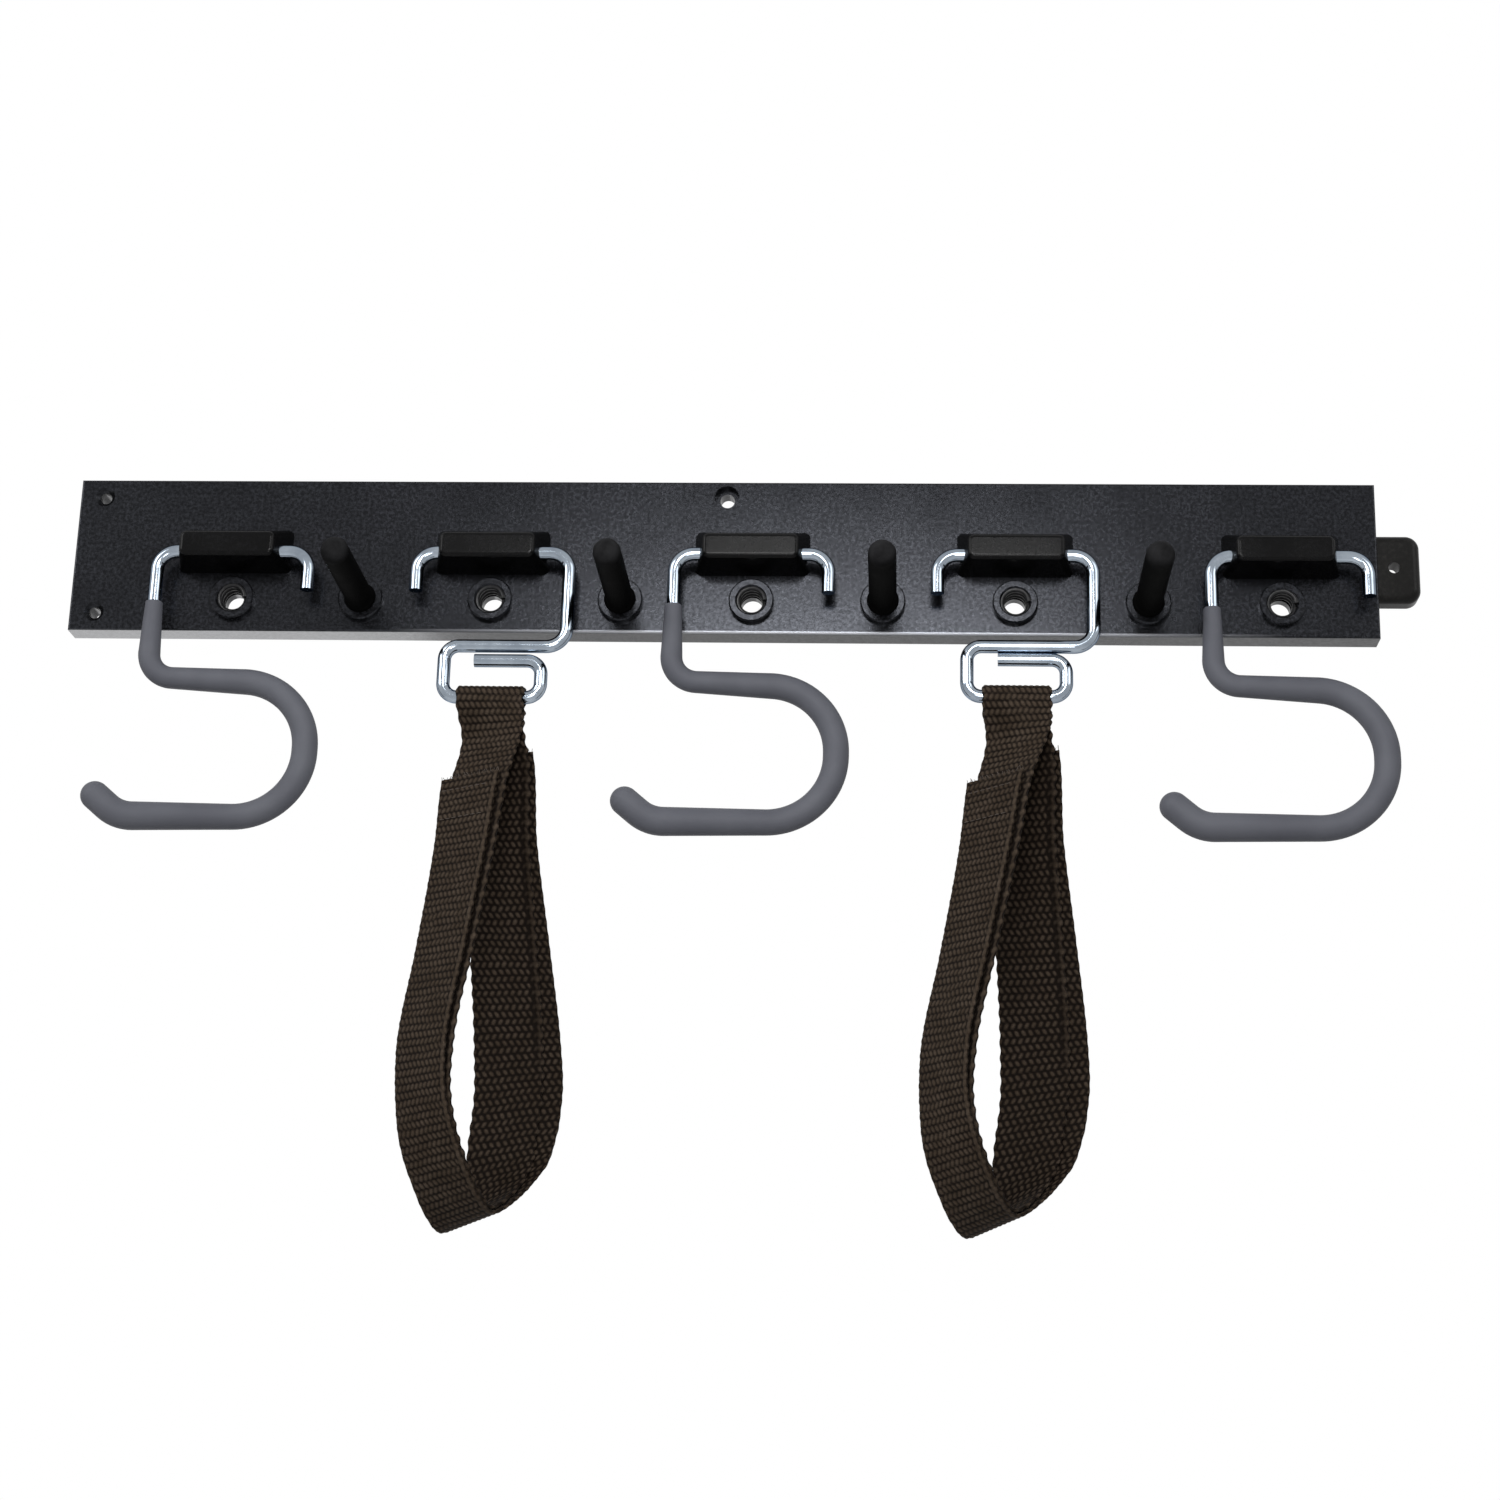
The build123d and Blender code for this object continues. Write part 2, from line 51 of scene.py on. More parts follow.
# Straps: the loop's route below its eye, in millimetres and degrees:
# right, behind, above, turn to the front, tilt
LOOP_ROUTE = (
    (1.2, -0.8, -14.5, 20.0, 0.0),
    (-1.5, -6.0, -33.0, 25.0, 3.0),
    (-3.0, -11.4, -59.0, 32.0, 0.0),
    (-7.5, -15.6, -99.0, 36.0, 0.0),
    (-12.5, -17.5, -136.0, 37.0, 0.0),
    (-12.5, -17.0, -154.0, 37.0, 3.0),
    (-10.0, -15.0, -169.5, 32.0, 7.0),
    (-5.5, -10.5, -182.0, 31.0, 9.0),
    (-2.0, -4.5, -190.0, 31.0, 12.0),
    (1.0, 2.0, -193.5, 30.0, 14.0),
    (6.0, 8.5, -188.5, 20.0, 18.0),
    (10.0, 12.5, -177.5, 7.0, 14.0),
    (11.0, 15.0, -162.0, -2.0, 10.0),
    (12.0, 16.0, -147.0, -1.0, 8.0),
    (11.0, 16.0, -128.0, 0.0, 4.0),
    (7.5, 14.0, -91.5, 4.0, 0.0),
    (3.8, 10.0, -53.0, 10.0, 0.0),
    (3.0, 3.5, -21.5, 18.0, 0.0),
    (1.8, 1.0, -14.5, 20.0, 0.0),
)
COVER_FIRST = 1              # rows of the route where the cover ply starts and ends
COVER_LAST = 17
# How far the cover ply lies to the right of the loop at each of those rows
COVER_SHIFT = (-3.0, -2.8, -2.6, -2.0, -0.8, 0.0, 0.0, 0.0, 0.0, 2.0, 5.4, 7.6, 7.2, 6.4, 4.4, 2.2, 1.2)
STRAP_TURNS = (0.0, 11.8)    # degrees that each strap hangs turned, its right edge to the front
STRAP_LEANS = (0.0, -3.3)    # degrees that each strap leans to the right
STRAP_TURN_DROP = 33.0       # below the eye, where a strap has its full turn
WRAP_RADIUS = 3.6            # of the loop's middle round the wire of the eye
WRAP_START = -10.0           # degrees above level at which the wrap round the wire starts and ends
WRAP_STEPS = 8
SPAN_STEPS = 40              # points from one row of the route to the next
STRAP_WIDTH = 25.4
PLY_OFFSET = 1.85            # from the loop's middle to the cover ply's

# Columns of a ply's line: its middle, the directions across it and outwards, and the row of the route
MIDDLE = slice(0, 3)
ACROSS = slice(3, 6)
OUTWARD = slice(6, 9)
ROUTE_ROW = 9

# Weave of the webbing, in millimetres
ROW_PITCH = 2.65
COLUMNS = 12                 # ribs across the outside
BEADS = 10                   # and beads across the inside
CORE_HALF = 0.42             # half the webbing's thickness in the hollows of its weave
RELIEF = 0.36
UNEVENNESS = 1.6             # drift of the rows along the webbing
DRIFT_PER_METRE = 110.0      # and how often it changes
SLANT = 0.42                 # the yarn leans one way in one row and the other way in the next
RIB_MEAN = 0.64              # share of the relief that a rib has, and how far it rises and falls across a row
RIB_WAVE = 0.36
RIB_FALL = 0.85              # share of a rib's height that is lost at its ends
BEAD_MEAN = 0.54
BEAD_WAVE = 0.46
BEAD_FALL = 1.0
SCALLOP = 0.45
EDGE_TEETH = {"loop": (0.5, 1.0), "cover": (0.2, 0.2)}   # share of it at the left and right edge
EDGE_ROUND = 0.8
ROLL_WIDTH = 1.8             # the smooth roll along each ply's right edge
ROLL_GROOVE = {"loop": 1.7, "cover": 0.7}
ROLL_CURLS = {"loop": 0.75, "cover": 0.0}
ROLL_SHOWS = {               # rows of the route and how much of the roll shows there
    "loop": (
        (0.5, 0.0), (1.5, 0.6), (8.5, 0.6), (10.0, 0.0), (13.0, 0.0), (14.0, 0.5), (16.5, 0.5), (17.5, 0.0),
    ),
    "cover": ((1.0, 0.44), (9.0, 0.44), (10.0, 0.0)),
}
ROW_STEPS = 4                # mesh rows for each row of the weave
COLUMN_STEPS = 5             # and mesh columns for each rib

# Sewing and loose yarn of the cover plies, in millimetres
STITCH_PITCH = 2.9
STITCH_LENGTH = 2.3
STITCH_THREAD = 0.5
STITCH_ROWS = (5.0, 17.0)    # distances of the sewn rows from each cut end
STITCH_SPAN = 20.0
STITCH_LIFT = 0.72           # above the ply's middle
FRAY_COUNT = 22
FRAY_REACH = 0.49            # share of the width that the yarn ends reach on each side of the middle
FRAY_YARN = 0.17             # radius of the yarn
FRAY_LENGTH = 2.1
FRAY_SHORTEST = 0.45         # share of that length
FRAY_SWING = (1.2, 0.35, 0.45)   # radians that a yarn end turns aside at most

# Thread turns in the open sockets, in millimetres
THREAD_TURNS = 2.6
THREAD_START = 12.7          # in front of the wall
THREAD_END = 4.9
THREAD_RADIUS = 5.25
THREAD_RIB = 1.1

# Colours, as linear red, green and blue
RAIL_DARK = (0.0020, 0.0020, 0.0022)
RAIL_SPECKS = (0.0130, 0.0136, 0.0165)
# painted highlight: a pale line along the middle of the rail's lower front edge
RAIL_EDGE_HIGHLIGHT = (0.30, 0.305, 0.32)
RAIL_SHEEN = (0.84, 0.88, 1.0)
PEG_DARK = (0.0011, 0.0011, 0.0011)
PEG_PALE = (0.0020, 0.0020, 0.0020)
# painted highlight that makes the peg tips paler
PEG_TIP_HIGHLIGHT = (0.016, 0.016, 0.017)
DIP_DARK = (0.068, 0.070, 0.083)
DIP_PALE = (0.086, 0.089, 0.103)
YARN_DARK = (0.038, 0.0272, 0.0184)
YARN_PALE = (0.058, 0.0432, 0.0317)
# fibre streaks of the yarn, and painted shade on the webbing's inner face
YARN_STREAKS = (0.010, 0.0062, 0.0040)
# painted shade in the hollows between the floats of the weave
WEAVE_HOLLOW_SHADE = (0.0018, 0.0010, 0.0006)
SEWING_DARK = (0.016, 0.011, 0.008)
SEWING_PALE = (0.060, 0.047, 0.038)
FLOOR_DARK = (0.86, 0.86, 0.86)
FLOOR_PALE = (0.90, 0.90, 0.90)
WHITE = (1.0, 1.0, 1.0)

# Where the finish and the painted highlights change, in millimetres, from not at all to fully
EDGE_HIGHLIGHT_HEIGHT = -30.5        # the painted highlight line along the rail's lower front edge
EDGE_HIGHLIGHT_ABOVE_BELOW = (0.75, 0.35)
EDGE_HIGHLIGHT_FRONT = (-9.8, -10.1)
EDGE_HIGHLIGHT_MIDDLE = 45.0         # and its middle along the rail
EDGE_HIGHLIGHT_BESIDE = (170.0, 70.0)
RAIL_UNDERSIDE = (-30.2, -30.8)
SHINE_TO_LEFT = (-60.0, -160.0)
PEG_TIP = (-61.5, -66.0)

USUAL_NOISE = (0.3, 0.7)     # most of a noise texture lies between these values


def add_node(tree, kind, settings=None, inputs=None):
    """A node with its settings, its inputs set to values or linked from other nodes."""
    node = tree.nodes.new(kind)
    for name, value in (settings or {}).items():
        setattr(node, name, value)
    for name, value in (inputs or {}).items():
        feed(tree, node.inputs[name], value)
    return node


def feed(tree, socket, value):
    """A socket linked from another, or set to a value."""
    if isinstance(value, bpy.types.NodeSocket):
        tree.links.new(value, socket)
    else:
        socket.default_value = value


def math_node(tree, operation, *values):
    """The outcome of one sum on values or sockets."""
    node = add_node(tree, "ShaderNodeMath", {"operation": operation})
    for socket, value in zip(node.inputs, values):
        feed(tree, socket, value)
    return node.outputs[0]


def new_finish(name, constants):
    """An empty finish: its tree, its shader and the object's own coordinates."""
    material = bpy.data.materials.new(name)
    material.use_nodes = True
    tree = material.node_tree
    shader = tree.nodes["Principled BSDF"]
    for socket, value in constants.items():
        shader.inputs[socket].default_value = value
    place = add_node(tree, "ShaderNodeTexCoord").outputs["Object"]
    return material, tree, shader, place


def noise(tree, place, per_metre, detail=3.0, rough=0.55):
    node = add_node(tree, "ShaderNodeTexNoise", None, {
        "Vector": place, "Scale": per_metre, "Detail": detail, "Roughness": rough,
    })
    return node.outputs["Fac"]


def spread(tree, value, low, high, to_low=0.0, to_high=1.0):
    """A value moved from one range to another and kept inside it."""
    node = add_node(tree, "ShaderNodeMapRange", {"clamp": True}, {
        "Value": value, "From Min": low, "From Max": high, "To Min": to_low, "To Max": to_high,
    })
    return node.outputs["Result"]


def varied(tree, texture, low=0.0, high=1.0):
    """A value that follows a noise texture from low to high."""
    return spread(tree, texture, *USUAL_NOISE, low, high)


def zone(tree, place, limits, low=0.0, high=1.0):
    """A value that changes from low to high between two limits in millimetres."""
    return spread(tree, place, limits[0] * MM, limits[1] * MM, low, high)


def distance_from(tree, place, middle):
    """How far a coordinate is from a middle in millimetres."""
    return math_node(tree, "ABSOLUTE", math_node(tree, "SUBTRACT", place, middle * MM))


def tint(tree, factor, first, second):
    """A colour between two others."""
    node = add_node(tree, "ShaderNodeMix", {"data_type": "RGBA"})
    feed(tree, node.inputs["Factor"], factor)
    for socket, value in zip([s for s in node.inputs if s.type == "RGBA"], (first, second)):
        feed(tree, socket, value if isinstance(value, bpy.types.NodeSocket) else (*value, 1.0))
    return [s for s in node.outputs if s.type == "RGBA"][0]


def raise_skin(tree, shader, height, depth, strength):
    """Small relief in the finish, depth in metres."""
    bump = add_node(tree, "ShaderNodeBump", None, {
        "Height": height, "Distance": depth, "Strength": strength,
    })
    tree.links.new(bump.outputs["Normal"], shader.inputs["Normal"])


def pebbled_black(name, dark, pale, specular, rough_low, rough_high, pebble_depth):
    """Moulded black plastic with a pebbled skin, pale specks and cloudy patches."""
    material, tree, shader, place = new_finish(name, {"Specular IOR Level": specular})
    pebbles = noise(tree, place, per_metre=620.0, detail=5.0, rough=0.7)
    clouds = noise(tree, place, per_metre=45.0, detail=3.0, rough=0.6)
    specks = spread(tree, pebbles, 0.46, 0.70)
    cloudy = spread(tree, clouds, 0.35, 0.7, 0.25, 1.0)
    amount = math_node(tree, "MULTIPLY", specks, cloudy)
    tree.links.new(tint(tree, amount, dark, pale), shader.inputs["Base Color"])
    tree.links.new(varied(tree, clouds, rough_low, rough_high), shader.inputs["Roughness"])
    raise_skin(tree, shader, pebbles, pebble_depth, strength=0.35)
    return material


def rail_plastic():
    """Moulded black plastic: a pebbled front with pale specks, a smooth, shiny lower edge, and a painted highlight
    along the middle of the lower front edge.
    """
    material, tree, shader, place = new_finish("rail_black", {"Specular Tint": (*RAIL_SHEEN, 1.0)})
    pebbles = noise(tree, place, per_metre=760.0, detail=3.0, rough=0.7)
    clouds = noise(tree, place, per_metre=45.0, detail=3.0, rough=0.6)
    specks = spread(tree, pebbles, 0.44, 0.72)
    cloudy = spread(tree, clouds, 0.35, 0.7, 0.35, 1.0)
    amount = math_node(tree, "MULTIPLY", specks, cloudy)
    plain = tint(tree, amount, RAIL_DARK, RAIL_SPECKS)

    spot = add_node(tree, "ShaderNodeSeparateXYZ", None, {"Vector": place})
    # Painted highlight: a pale line along the middle of the lower front edge, which also gets more specular and
    # less bump.
    at_edge = zone(tree, distance_from(tree, spot.outputs["Z"], EDGE_HIGHLIGHT_HEIGHT), EDGE_HIGHLIGHT_ABOVE_BELOW)
    in_front = zone(tree, spot.outputs["Y"], EDGE_HIGHLIGHT_FRONT)
    near_middle = zone(tree, distance_from(tree, spot.outputs["X"], EDGE_HIGHLIGHT_MIDDLE), EDGE_HIGHLIGHT_BESIDE)
    painted_highlight = math_node(tree, "MULTIPLY", math_node(tree, "MULTIPLY", at_edge, in_front), near_middle)
    tree.links.new(tint(tree, painted_highlight, plain, RAIL_EDGE_HIGHLIGHT), shader.inputs["Base Color"])

    lower = zone(tree, spot.outputs["Z"], RAIL_UNDERSIDE)
    leftward = zone(tree, spot.outputs["X"], SHINE_TO_LEFT, 0.04, 0.20)
    shine = math_node(tree, "MULTIPLY", lower, leftward)
    glint = spread(tree, pebbles, 0.38, 0.66, 0.13, 0.28)
    glossy = math_node(tree, "ADD", shine, glint)
    tree.links.new(math_node(tree, "MULTIPLY_ADD", painted_highlight, 0.5, glossy), shader.inputs["Specular IOR Level"])
    satin = varied(tree, clouds, 0.20, 0.25)
    tree.links.new(math_node(tree, "MULTIPLY_ADD", lower, -0.07, satin), shader.inputs["Roughness"])
    flattened = math_node(tree, "MULTIPLY_ADD", painted_highlight, -0.2, 0.2)
    raise_skin(tree, shader, pebbles, 0.10 * MM, flattened)
    return material


def peg_rubber():
    """Soft black rubber with faint patches, and a painted highlight that makes the tips paler."""
    material, tree, shader, place = new_finish("peg_rubber", {"Specular IOR Level": 0.012})
    patches = noise(tree, place, per_metre=130.0, detail=3.0, rough=0.6)
    grain = noise(tree, place, per_metre=2200.0, detail=2.0, rough=0.5)
    plain = tint(tree, spread(tree, patches, 0.35, 0.7), PEG_DARK, PEG_PALE)
    spot = add_node(tree, "ShaderNodeSeparateXYZ", None, {"Vector": place})
    # Painted highlight: the tips are paler, in patches.
    at_tip = zone(tree, spot.outputs["Y"], PEG_TIP)
    painted_highlight = math_node(tree, "MULTIPLY", at_tip, spread(tree, patches, 0.3, 0.6, 0.4, 1.0))
    tree.links.new(tint(tree, painted_highlight, plain, PEG_TIP_HIGHLIGHT), shader.inputs["Base Color"])
    tree.links.new(varied(tree, patches, 0.62, 0.74), shader.inputs["Roughness"])
    raise_skin(tree, shader, grain, 0.04 * MM, strength=0.3)
    return material


def dipped_grey():
    """Soft grey coating from a dip bath: satin, a little uneven in thickness and tone."""
    material, tree, shader, place = new_finish("dipped_grey", {"Specular IOR Level": 0.14})
    flow = noise(tree, place, per_metre=55.0, detail=2.0, rough=0.5)
    grain = noise(tree, place, per_metre=1500.0, detail=3.0, rough=0.6)
    tree.links.new(tint(tree, varied(tree, flow), DIP_DARK, DIP_PALE), shader.inputs["Base Color"])
    tree.links.new(varied(tree, grain, 0.52, 0.66), shader.inputs["Roughness"])
    thickness = math_node(tree, "MULTIPLY", flow, 3.0)
    skin = math_node(tree, "ADD", thickness, math_node(tree, "MULTIPLY", grain, 0.15))
    raise_skin(tree, shader, skin, 0.12 * MM, strength=0.4)
    return material


def zinc_plate(name, dark, pale, edge):
    """Bright zinc plate on drawn wire, bluish, with dull patches."""
    material, tree, shader, place = new_finish(name, {"Metallic": 1.0, "Specular Tint": (*edge, 1.0)})
    patches = noise(tree, place, per_metre=90.0, detail=4.0, rough=0.65)
    grain = noise(tree, place, per_metre=900.0, detail=3.0, rough=0.6)
    tree.links.new(tint(tree, spread(tree, patches, 0.35, 0.68), dark, pale), shader.inputs["Base Color"])
    tree.links.new(varied(tree, patches, 0.10, 0.14), shader.inputs["Roughness"])
    raise_skin(tree, shader, grain, 0.01 * MM, strength=0.08)
    return material


def brown_webbing():
    """Dark brown woven webbing: paler floats on top, and painted shade that darkens the hollows between them."""
    material, tree, shader, place = new_finish("brown_webbing", {
        "Specular IOR Level": 0.04, "Sheen Weight": 0.02, "Sheen Roughness": 0.5,
    })
    weave = add_node(tree, "ShaderNodeAttribute", {"attribute_name": "weave"}).outputs["Fac"]
    fibres = noise(tree, place, per_metre=2600.0, detail=3.0, rough=0.6)
    tone = noise(tree, place, per_metre=160.0, detail=2.0, rough=0.5)
    yarn = tint(tree, varied(tree, tone), YARN_DARK, YARN_PALE)
    # Painted shade: the hollows of the weave darken almost to black.
    top = spread(tree, weave, 0.18, 0.75)
    woven = tint(tree, top, WEAVE_HOLLOW_SHADE, yarn)
    inside = add_node(tree, "ShaderNodeAttribute", {"attribute_name": "inside"}).outputs["Fac"]
    # Fibre streaks, and painted shade that darkens the inner face a little.
    shade = math_node(tree, "MULTIPLY_ADD", inside, 0.1, varied(tree, fibres, 0.0, 0.4))
    tree.links.new(tint(tree, shade, woven, YARN_STREAKS), shader.inputs["Base Color"])
    tree.links.new(varied(tree, fibres, 0.6, 0.8), shader.inputs["Roughness"])
    raise_skin(tree, shader, fibres, 0.06 * MM, strength=0.5)
    return material


def brown_thread():
    """Sewing thread in the webbing's colour, with its twist."""
    material, tree, shader, place = new_finish("brown_thread", {"Specular IOR Level": 0.25})
    twist = noise(tree, place, per_metre=3500.0, detail=2.0, rough=0.5)
    tone = tint(tree, spread(tree, twist, 0.35, 0.65), SEWING_DARK, SEWING_PALE)
    tree.links.new(tone, shader.inputs["Base Color"])
    tree.links.new(varied(tree, twist, 0.5, 0.7), shader.inputs["Roughness"])
    return material


rail_black = rail_plastic()
retainer_black = pebbled_black(
    "retainer_black", dark=(0.0012, 0.0012, 0.0013), pale=(0.0050, 0.0050, 0.0055),
    specular=0.085, rough_low=0.18, rough_high=0.26, pebble_depth=0.04 * MM)
tongue_black = pebbled_black(
    "tongue_black", dark=(0.0035, 0.0033, 0.0030), pale=(0.014, 0.013, 0.012),
    specular=0.10, rough_low=0.30, rough_high=0.42, pebble_depth=0.03 * MM)
# A paler copy of the rail's black plastic for the socket threads: painted light that makes the thread turns show.
lit_thread_black = pebbled_black(
    "lit_thread_black", dark=(0.007, 0.007, 0.0075), pale=(0.022, 0.022, 0.024),
    specular=0.20, rough_low=0.28, rough_high=0.38, pebble_depth=0.02 * MM)
peg_black = peg_rubber()
dip_grey = dipped_grey()
# The zinc's bluish tone is its own; its edge colour darkens and blues the reflections towards the sides, a painted
# dark bluish reflection.
wire_zinc = zinc_plate(
    "wire_zinc", dark=(0.22, 0.255, 0.30), pale=(0.31, 0.35, 0.395), edge=(0.10, 0.145, 0.23))
screw_zinc = zinc_plate(
    "screw_zinc", dark=(0.46, 0.47, 0.48), pale=(0.66, 0.66, 0.66), edge=(0.6, 0.6, 0.6))
webbing_brown = brown_webbing()
thread_brown = brown_thread()

FINISHES = {
    "rail": rail_black, "tongue": tongue_black, "retainer": retainer_black, "screw": screw_zinc,
    "peg": peg_black, "wire": wire_zinc, "dip": dip_grey, "webbing": webbing_brown,
}
for subpart in record["subparts"]:
    finished = solids[subpart["node"]].data
    finished.materials.clear()
    finished.materials.append(FINISHES[subpart["material_slot"]])


def new_tree(name, inputs):
    """An empty Geometry Nodes tree with named inputs, and its two ends."""
    tree = bpy.data.node_groups.new(name, "GeometryNodeTree")
    tree.interface.new_socket(name="Geometry", in_out="INPUT", socket_type="NodeSocketGeometry")
    for label, kind in inputs.items():
        tree.interface.new_socket(name=label, in_out="INPUT", socket_type="NodeSocket" + kind)
    tree.interface.new_socket(name="Geometry", in_out="OUTPUT", socket_type="NodeSocketGeometry")
    start = tree.nodes.new("NodeGroupInput")
    end = tree.nodes.new("NodeGroupOutput")
    return tree, start.outputs, end


def close_tree(tree, end, shape, material):
    """The last steps of every tree: real faces, smooth shading and the finish."""
    real = add_node(tree, "GeometryNodeRealizeInstances", None, {"Geometry": shape})
    smooth = add_node(tree, "GeometryNodeSetShadeSmooth", None, {"Geometry": real.outputs["Geometry"]})
    finish = add_node(tree, "GeometryNodeSetMaterial", None, {
        "Geometry": smooth.outputs["Geometry"], "Material": material,
    })
    tree.links.new(finish.outputs["Geometry"], end.inputs["Geometry"])


def attribute(tree, name, kind="FLOAT"):
    node = add_node(tree, "GeometryNodeInputNamedAttribute", {"data_type": kind}, {"Name": name})
    return node.outputs["Attribute"]


def grow(name, base, tree, sizes):
    """A plain piece that a tree makes from a base mesh."""
    piece = bpy.data.objects.new(name, base)
    bpy.context.scene.collection.objects.link(piece)
    modifier = piece.modifiers.new(tree.name, "NODES")
    modifier.node_group = tree
    for item in tree.interface.items_tree:
        if item.in_out == "INPUT" and item.name in sizes:
            modifier[item.identifier] = sizes[item.name]
    graph = bpy.context.evaluated_depsgraph_get()
    shape = bpy.data.meshes.new_from_object(
        piece.evaluated_get(graph), preserve_all_data_layers=True, depsgraph=graph)
    piece.modifiers.remove(modifier)
    piece.data = shape
    bpy.data.meshes.remove(base)
    shape.name = name
    return piece


def add_values(base, name, values):
    """A number for each point of a mesh."""
    layer = base.attributes.new(name, "FLOAT", "POINT")
    layer.data.foreach_set("value", np.asarray(values, np.float32).ravel())


def add_directions(base, name, values):
    """A direction for each point of a mesh."""
    layer = base.attributes.new(name, "FLOAT_VECTOR", "POINT")
    layer.data.foreach_set("vector", np.asarray(values, np.float32).ravel())


def base_points(name, points, directions=None):
    """A mesh of loose points with named directions, for a tree to build on."""
    base = bpy.data.meshes.new(name + "_base")
    base.from_pydata([tuple(p) for p in points], [], [])
    for label, values in (directions or {}).items():
        add_directions(base, label, values)
    return base


def socket_thread_tree():
    """Coarse round thread turns in each socket, from its mouth inwards."""
    tree, given, end = new_tree("socket_thread", {
        "Turns": "Float", "Radius": "Float", "Depth": "Float", "Rib Radius": "Float", "Material": "Material",
    })
    spiral = add_node(tree, "GeometryNodeCurveSpiral", None, {
        "Resolution": 40, "Rotations": given["Turns"], "Start Radius": given["Radius"],
        "End Radius": given["Radius"], "Height": given["Depth"],
    })
    rib = add_node(tree, "GeometryNodeCurvePrimitiveCircle", None, {
        "Resolution": 10, "Radius": given["Rib Radius"],
    })
    turns = add_node(tree, "GeometryNodeCurveToMesh", None, {
        "Curve": spiral.outputs["Curve"], "Profile Curve": rib.outputs["Curve"], "Fill Caps": True,
    })
    inwards = add_node(tree, "GeometryNodeTransform", None, {
        "Geometry": turns.outputs["Mesh"], "Rotation": (math.radians(-90.0), 0.0, 0.0),
    })
    placed = add_node(tree, "GeometryNodeInstanceOnPoints", None, {
        "Points": given["Geometry"], "Instance": inwards.outputs["Geometry"],
    })
    close_tree(tree, end, placed.outputs["Instances"], given["Material"])
    return tree


def webbing_weave_tree():
    """Leaning ribs outside a plain ribbon, staggered beads inside it, a smooth roll and scalloped edges."""
    tree, given, end = new_tree("webbing_weave", {
        "Row Pitch": "Float", "Column Pitch": "Float", "Bead Pitch": "Float", "Slant": "Float",
        "Relief": "Float", "Unevenness": "Float", "Scallop": "Float", "Material": "Material",
    })
    place = tree.nodes.new("GeometryNodeInputPosition").outputs["Position"]
    wander = noise(tree, place, per_metre=DRIFT_PER_METRE, detail=2.0, rough=0.5)
    drift = math_node(tree, "MULTIPLY", math_node(tree, "SUBTRACT", wander, 0.5), given["Unevenness"])
    along = math_node(tree, "ADD", attribute(tree, "along"), drift)
    rows = math_node(tree, "DIVIDE", along, given["Row Pitch"])
    nearest = math_node(tree, "MULTIPLY", math_node(tree, "ROUND", rows), given["Row Pitch"])
    in_row = math_node(tree, "SUBTRACT", along, nearest)
    odd_row = math_node(tree, "PINGPONG", math_node(tree, "ROUND", rows), 1.0)
    lean = math_node(tree, "MULTIPLY", given["Slant"], math_node(tree, "MULTIPLY_ADD", odd_row, -2.0, 1.0))
    slid = math_node(tree, "SUBTRACT", attribute(tree, "across"), math_node(tree, "MULTIPLY", lean, in_row))
    stagger = math_node(tree, "MULTIPLY", odd_row, 0.5)
    from_middle = math_node(tree, "DIVIDE", in_row, math_node(tree, "MULTIPLY", given["Row Pitch"], 0.5))
    bowed = math_node(tree, "POWER", from_middle, 2.0)

    def floats(pitch, mean, wave, fall):
        """The height of the yarn that shows, side by side in a row and bowed along it."""
        column = math_node(tree, "ADD", math_node(tree, "DIVIDE", slid, pitch), stagger)
        column_wave = math_node(tree, "COSINE", math_node(tree, "MULTIPLY", column, 2.0 * math.pi))
        bow = math_node(tree, "MULTIPLY_ADD", bowed, -fall, 1.0)
        return math_node(tree, "MULTIPLY", bow, math_node(tree, "MULTIPLY_ADD", column_wave, wave, mean))

    ribs = floats(given["Column Pitch"], RIB_MEAN, RIB_WAVE, RIB_FALL)
    beads = floats(given["Bead Pitch"], BEAD_MEAN, BEAD_WAVE, BEAD_FALL)
    inside = math_node(tree, "MULTIPLY", attribute(tree, "inside"), math_node(tree, "SUBTRACT", beads, ribs))
    both_faces = math_node(tree, "ADD", ribs, inside)
    weave = math_node(tree, "MULTIPLY_ADD", both_faces, attribute(tree, "woven"), attribute(tree, "roll"))
    lift = add_node(tree, "ShaderNodeVectorMath", {"operation": "SCALE"}, {
        "Vector": attribute(tree, "lift", "FLOAT_VECTOR"),
        "Scale": math_node(tree, "MULTIPLY", weave, given["Relief"]),
    })
    row_wave = math_node(tree, "COSINE", math_node(tree, "MULTIPLY", rows, math.pi))
    pull = add_node(tree, "ShaderNodeVectorMath", {"operation": "SCALE"}, {
        "Vector": attribute(tree, "edge", "FLOAT_VECTOR"),
        "Scale": math_node(tree, "MULTIPLY", row_wave, given["Scallop"]),
    })
    moved = add_node(tree, "ShaderNodeVectorMath", {"operation": "ADD"})
    tree.links.new(lift.outputs["Vector"], moved.inputs[0])
    tree.links.new(pull.outputs["Vector"], moved.inputs[1])
    kept = add_node(tree, "GeometryNodeStoreNamedAttribute", {"data_type": "FLOAT", "domain": "POINT"}, {
        "Geometry": given["Geometry"], "Name": "weave", "Value": weave,
    })
    woven = add_node(tree, "GeometryNodeSetPosition", None, {
        "Geometry": kept.outputs["Geometry"], "Offset": moved.outputs["Vector"],
    })
    close_tree(tree, end, woven.outputs["Geometry"], given["Material"])
    return tree


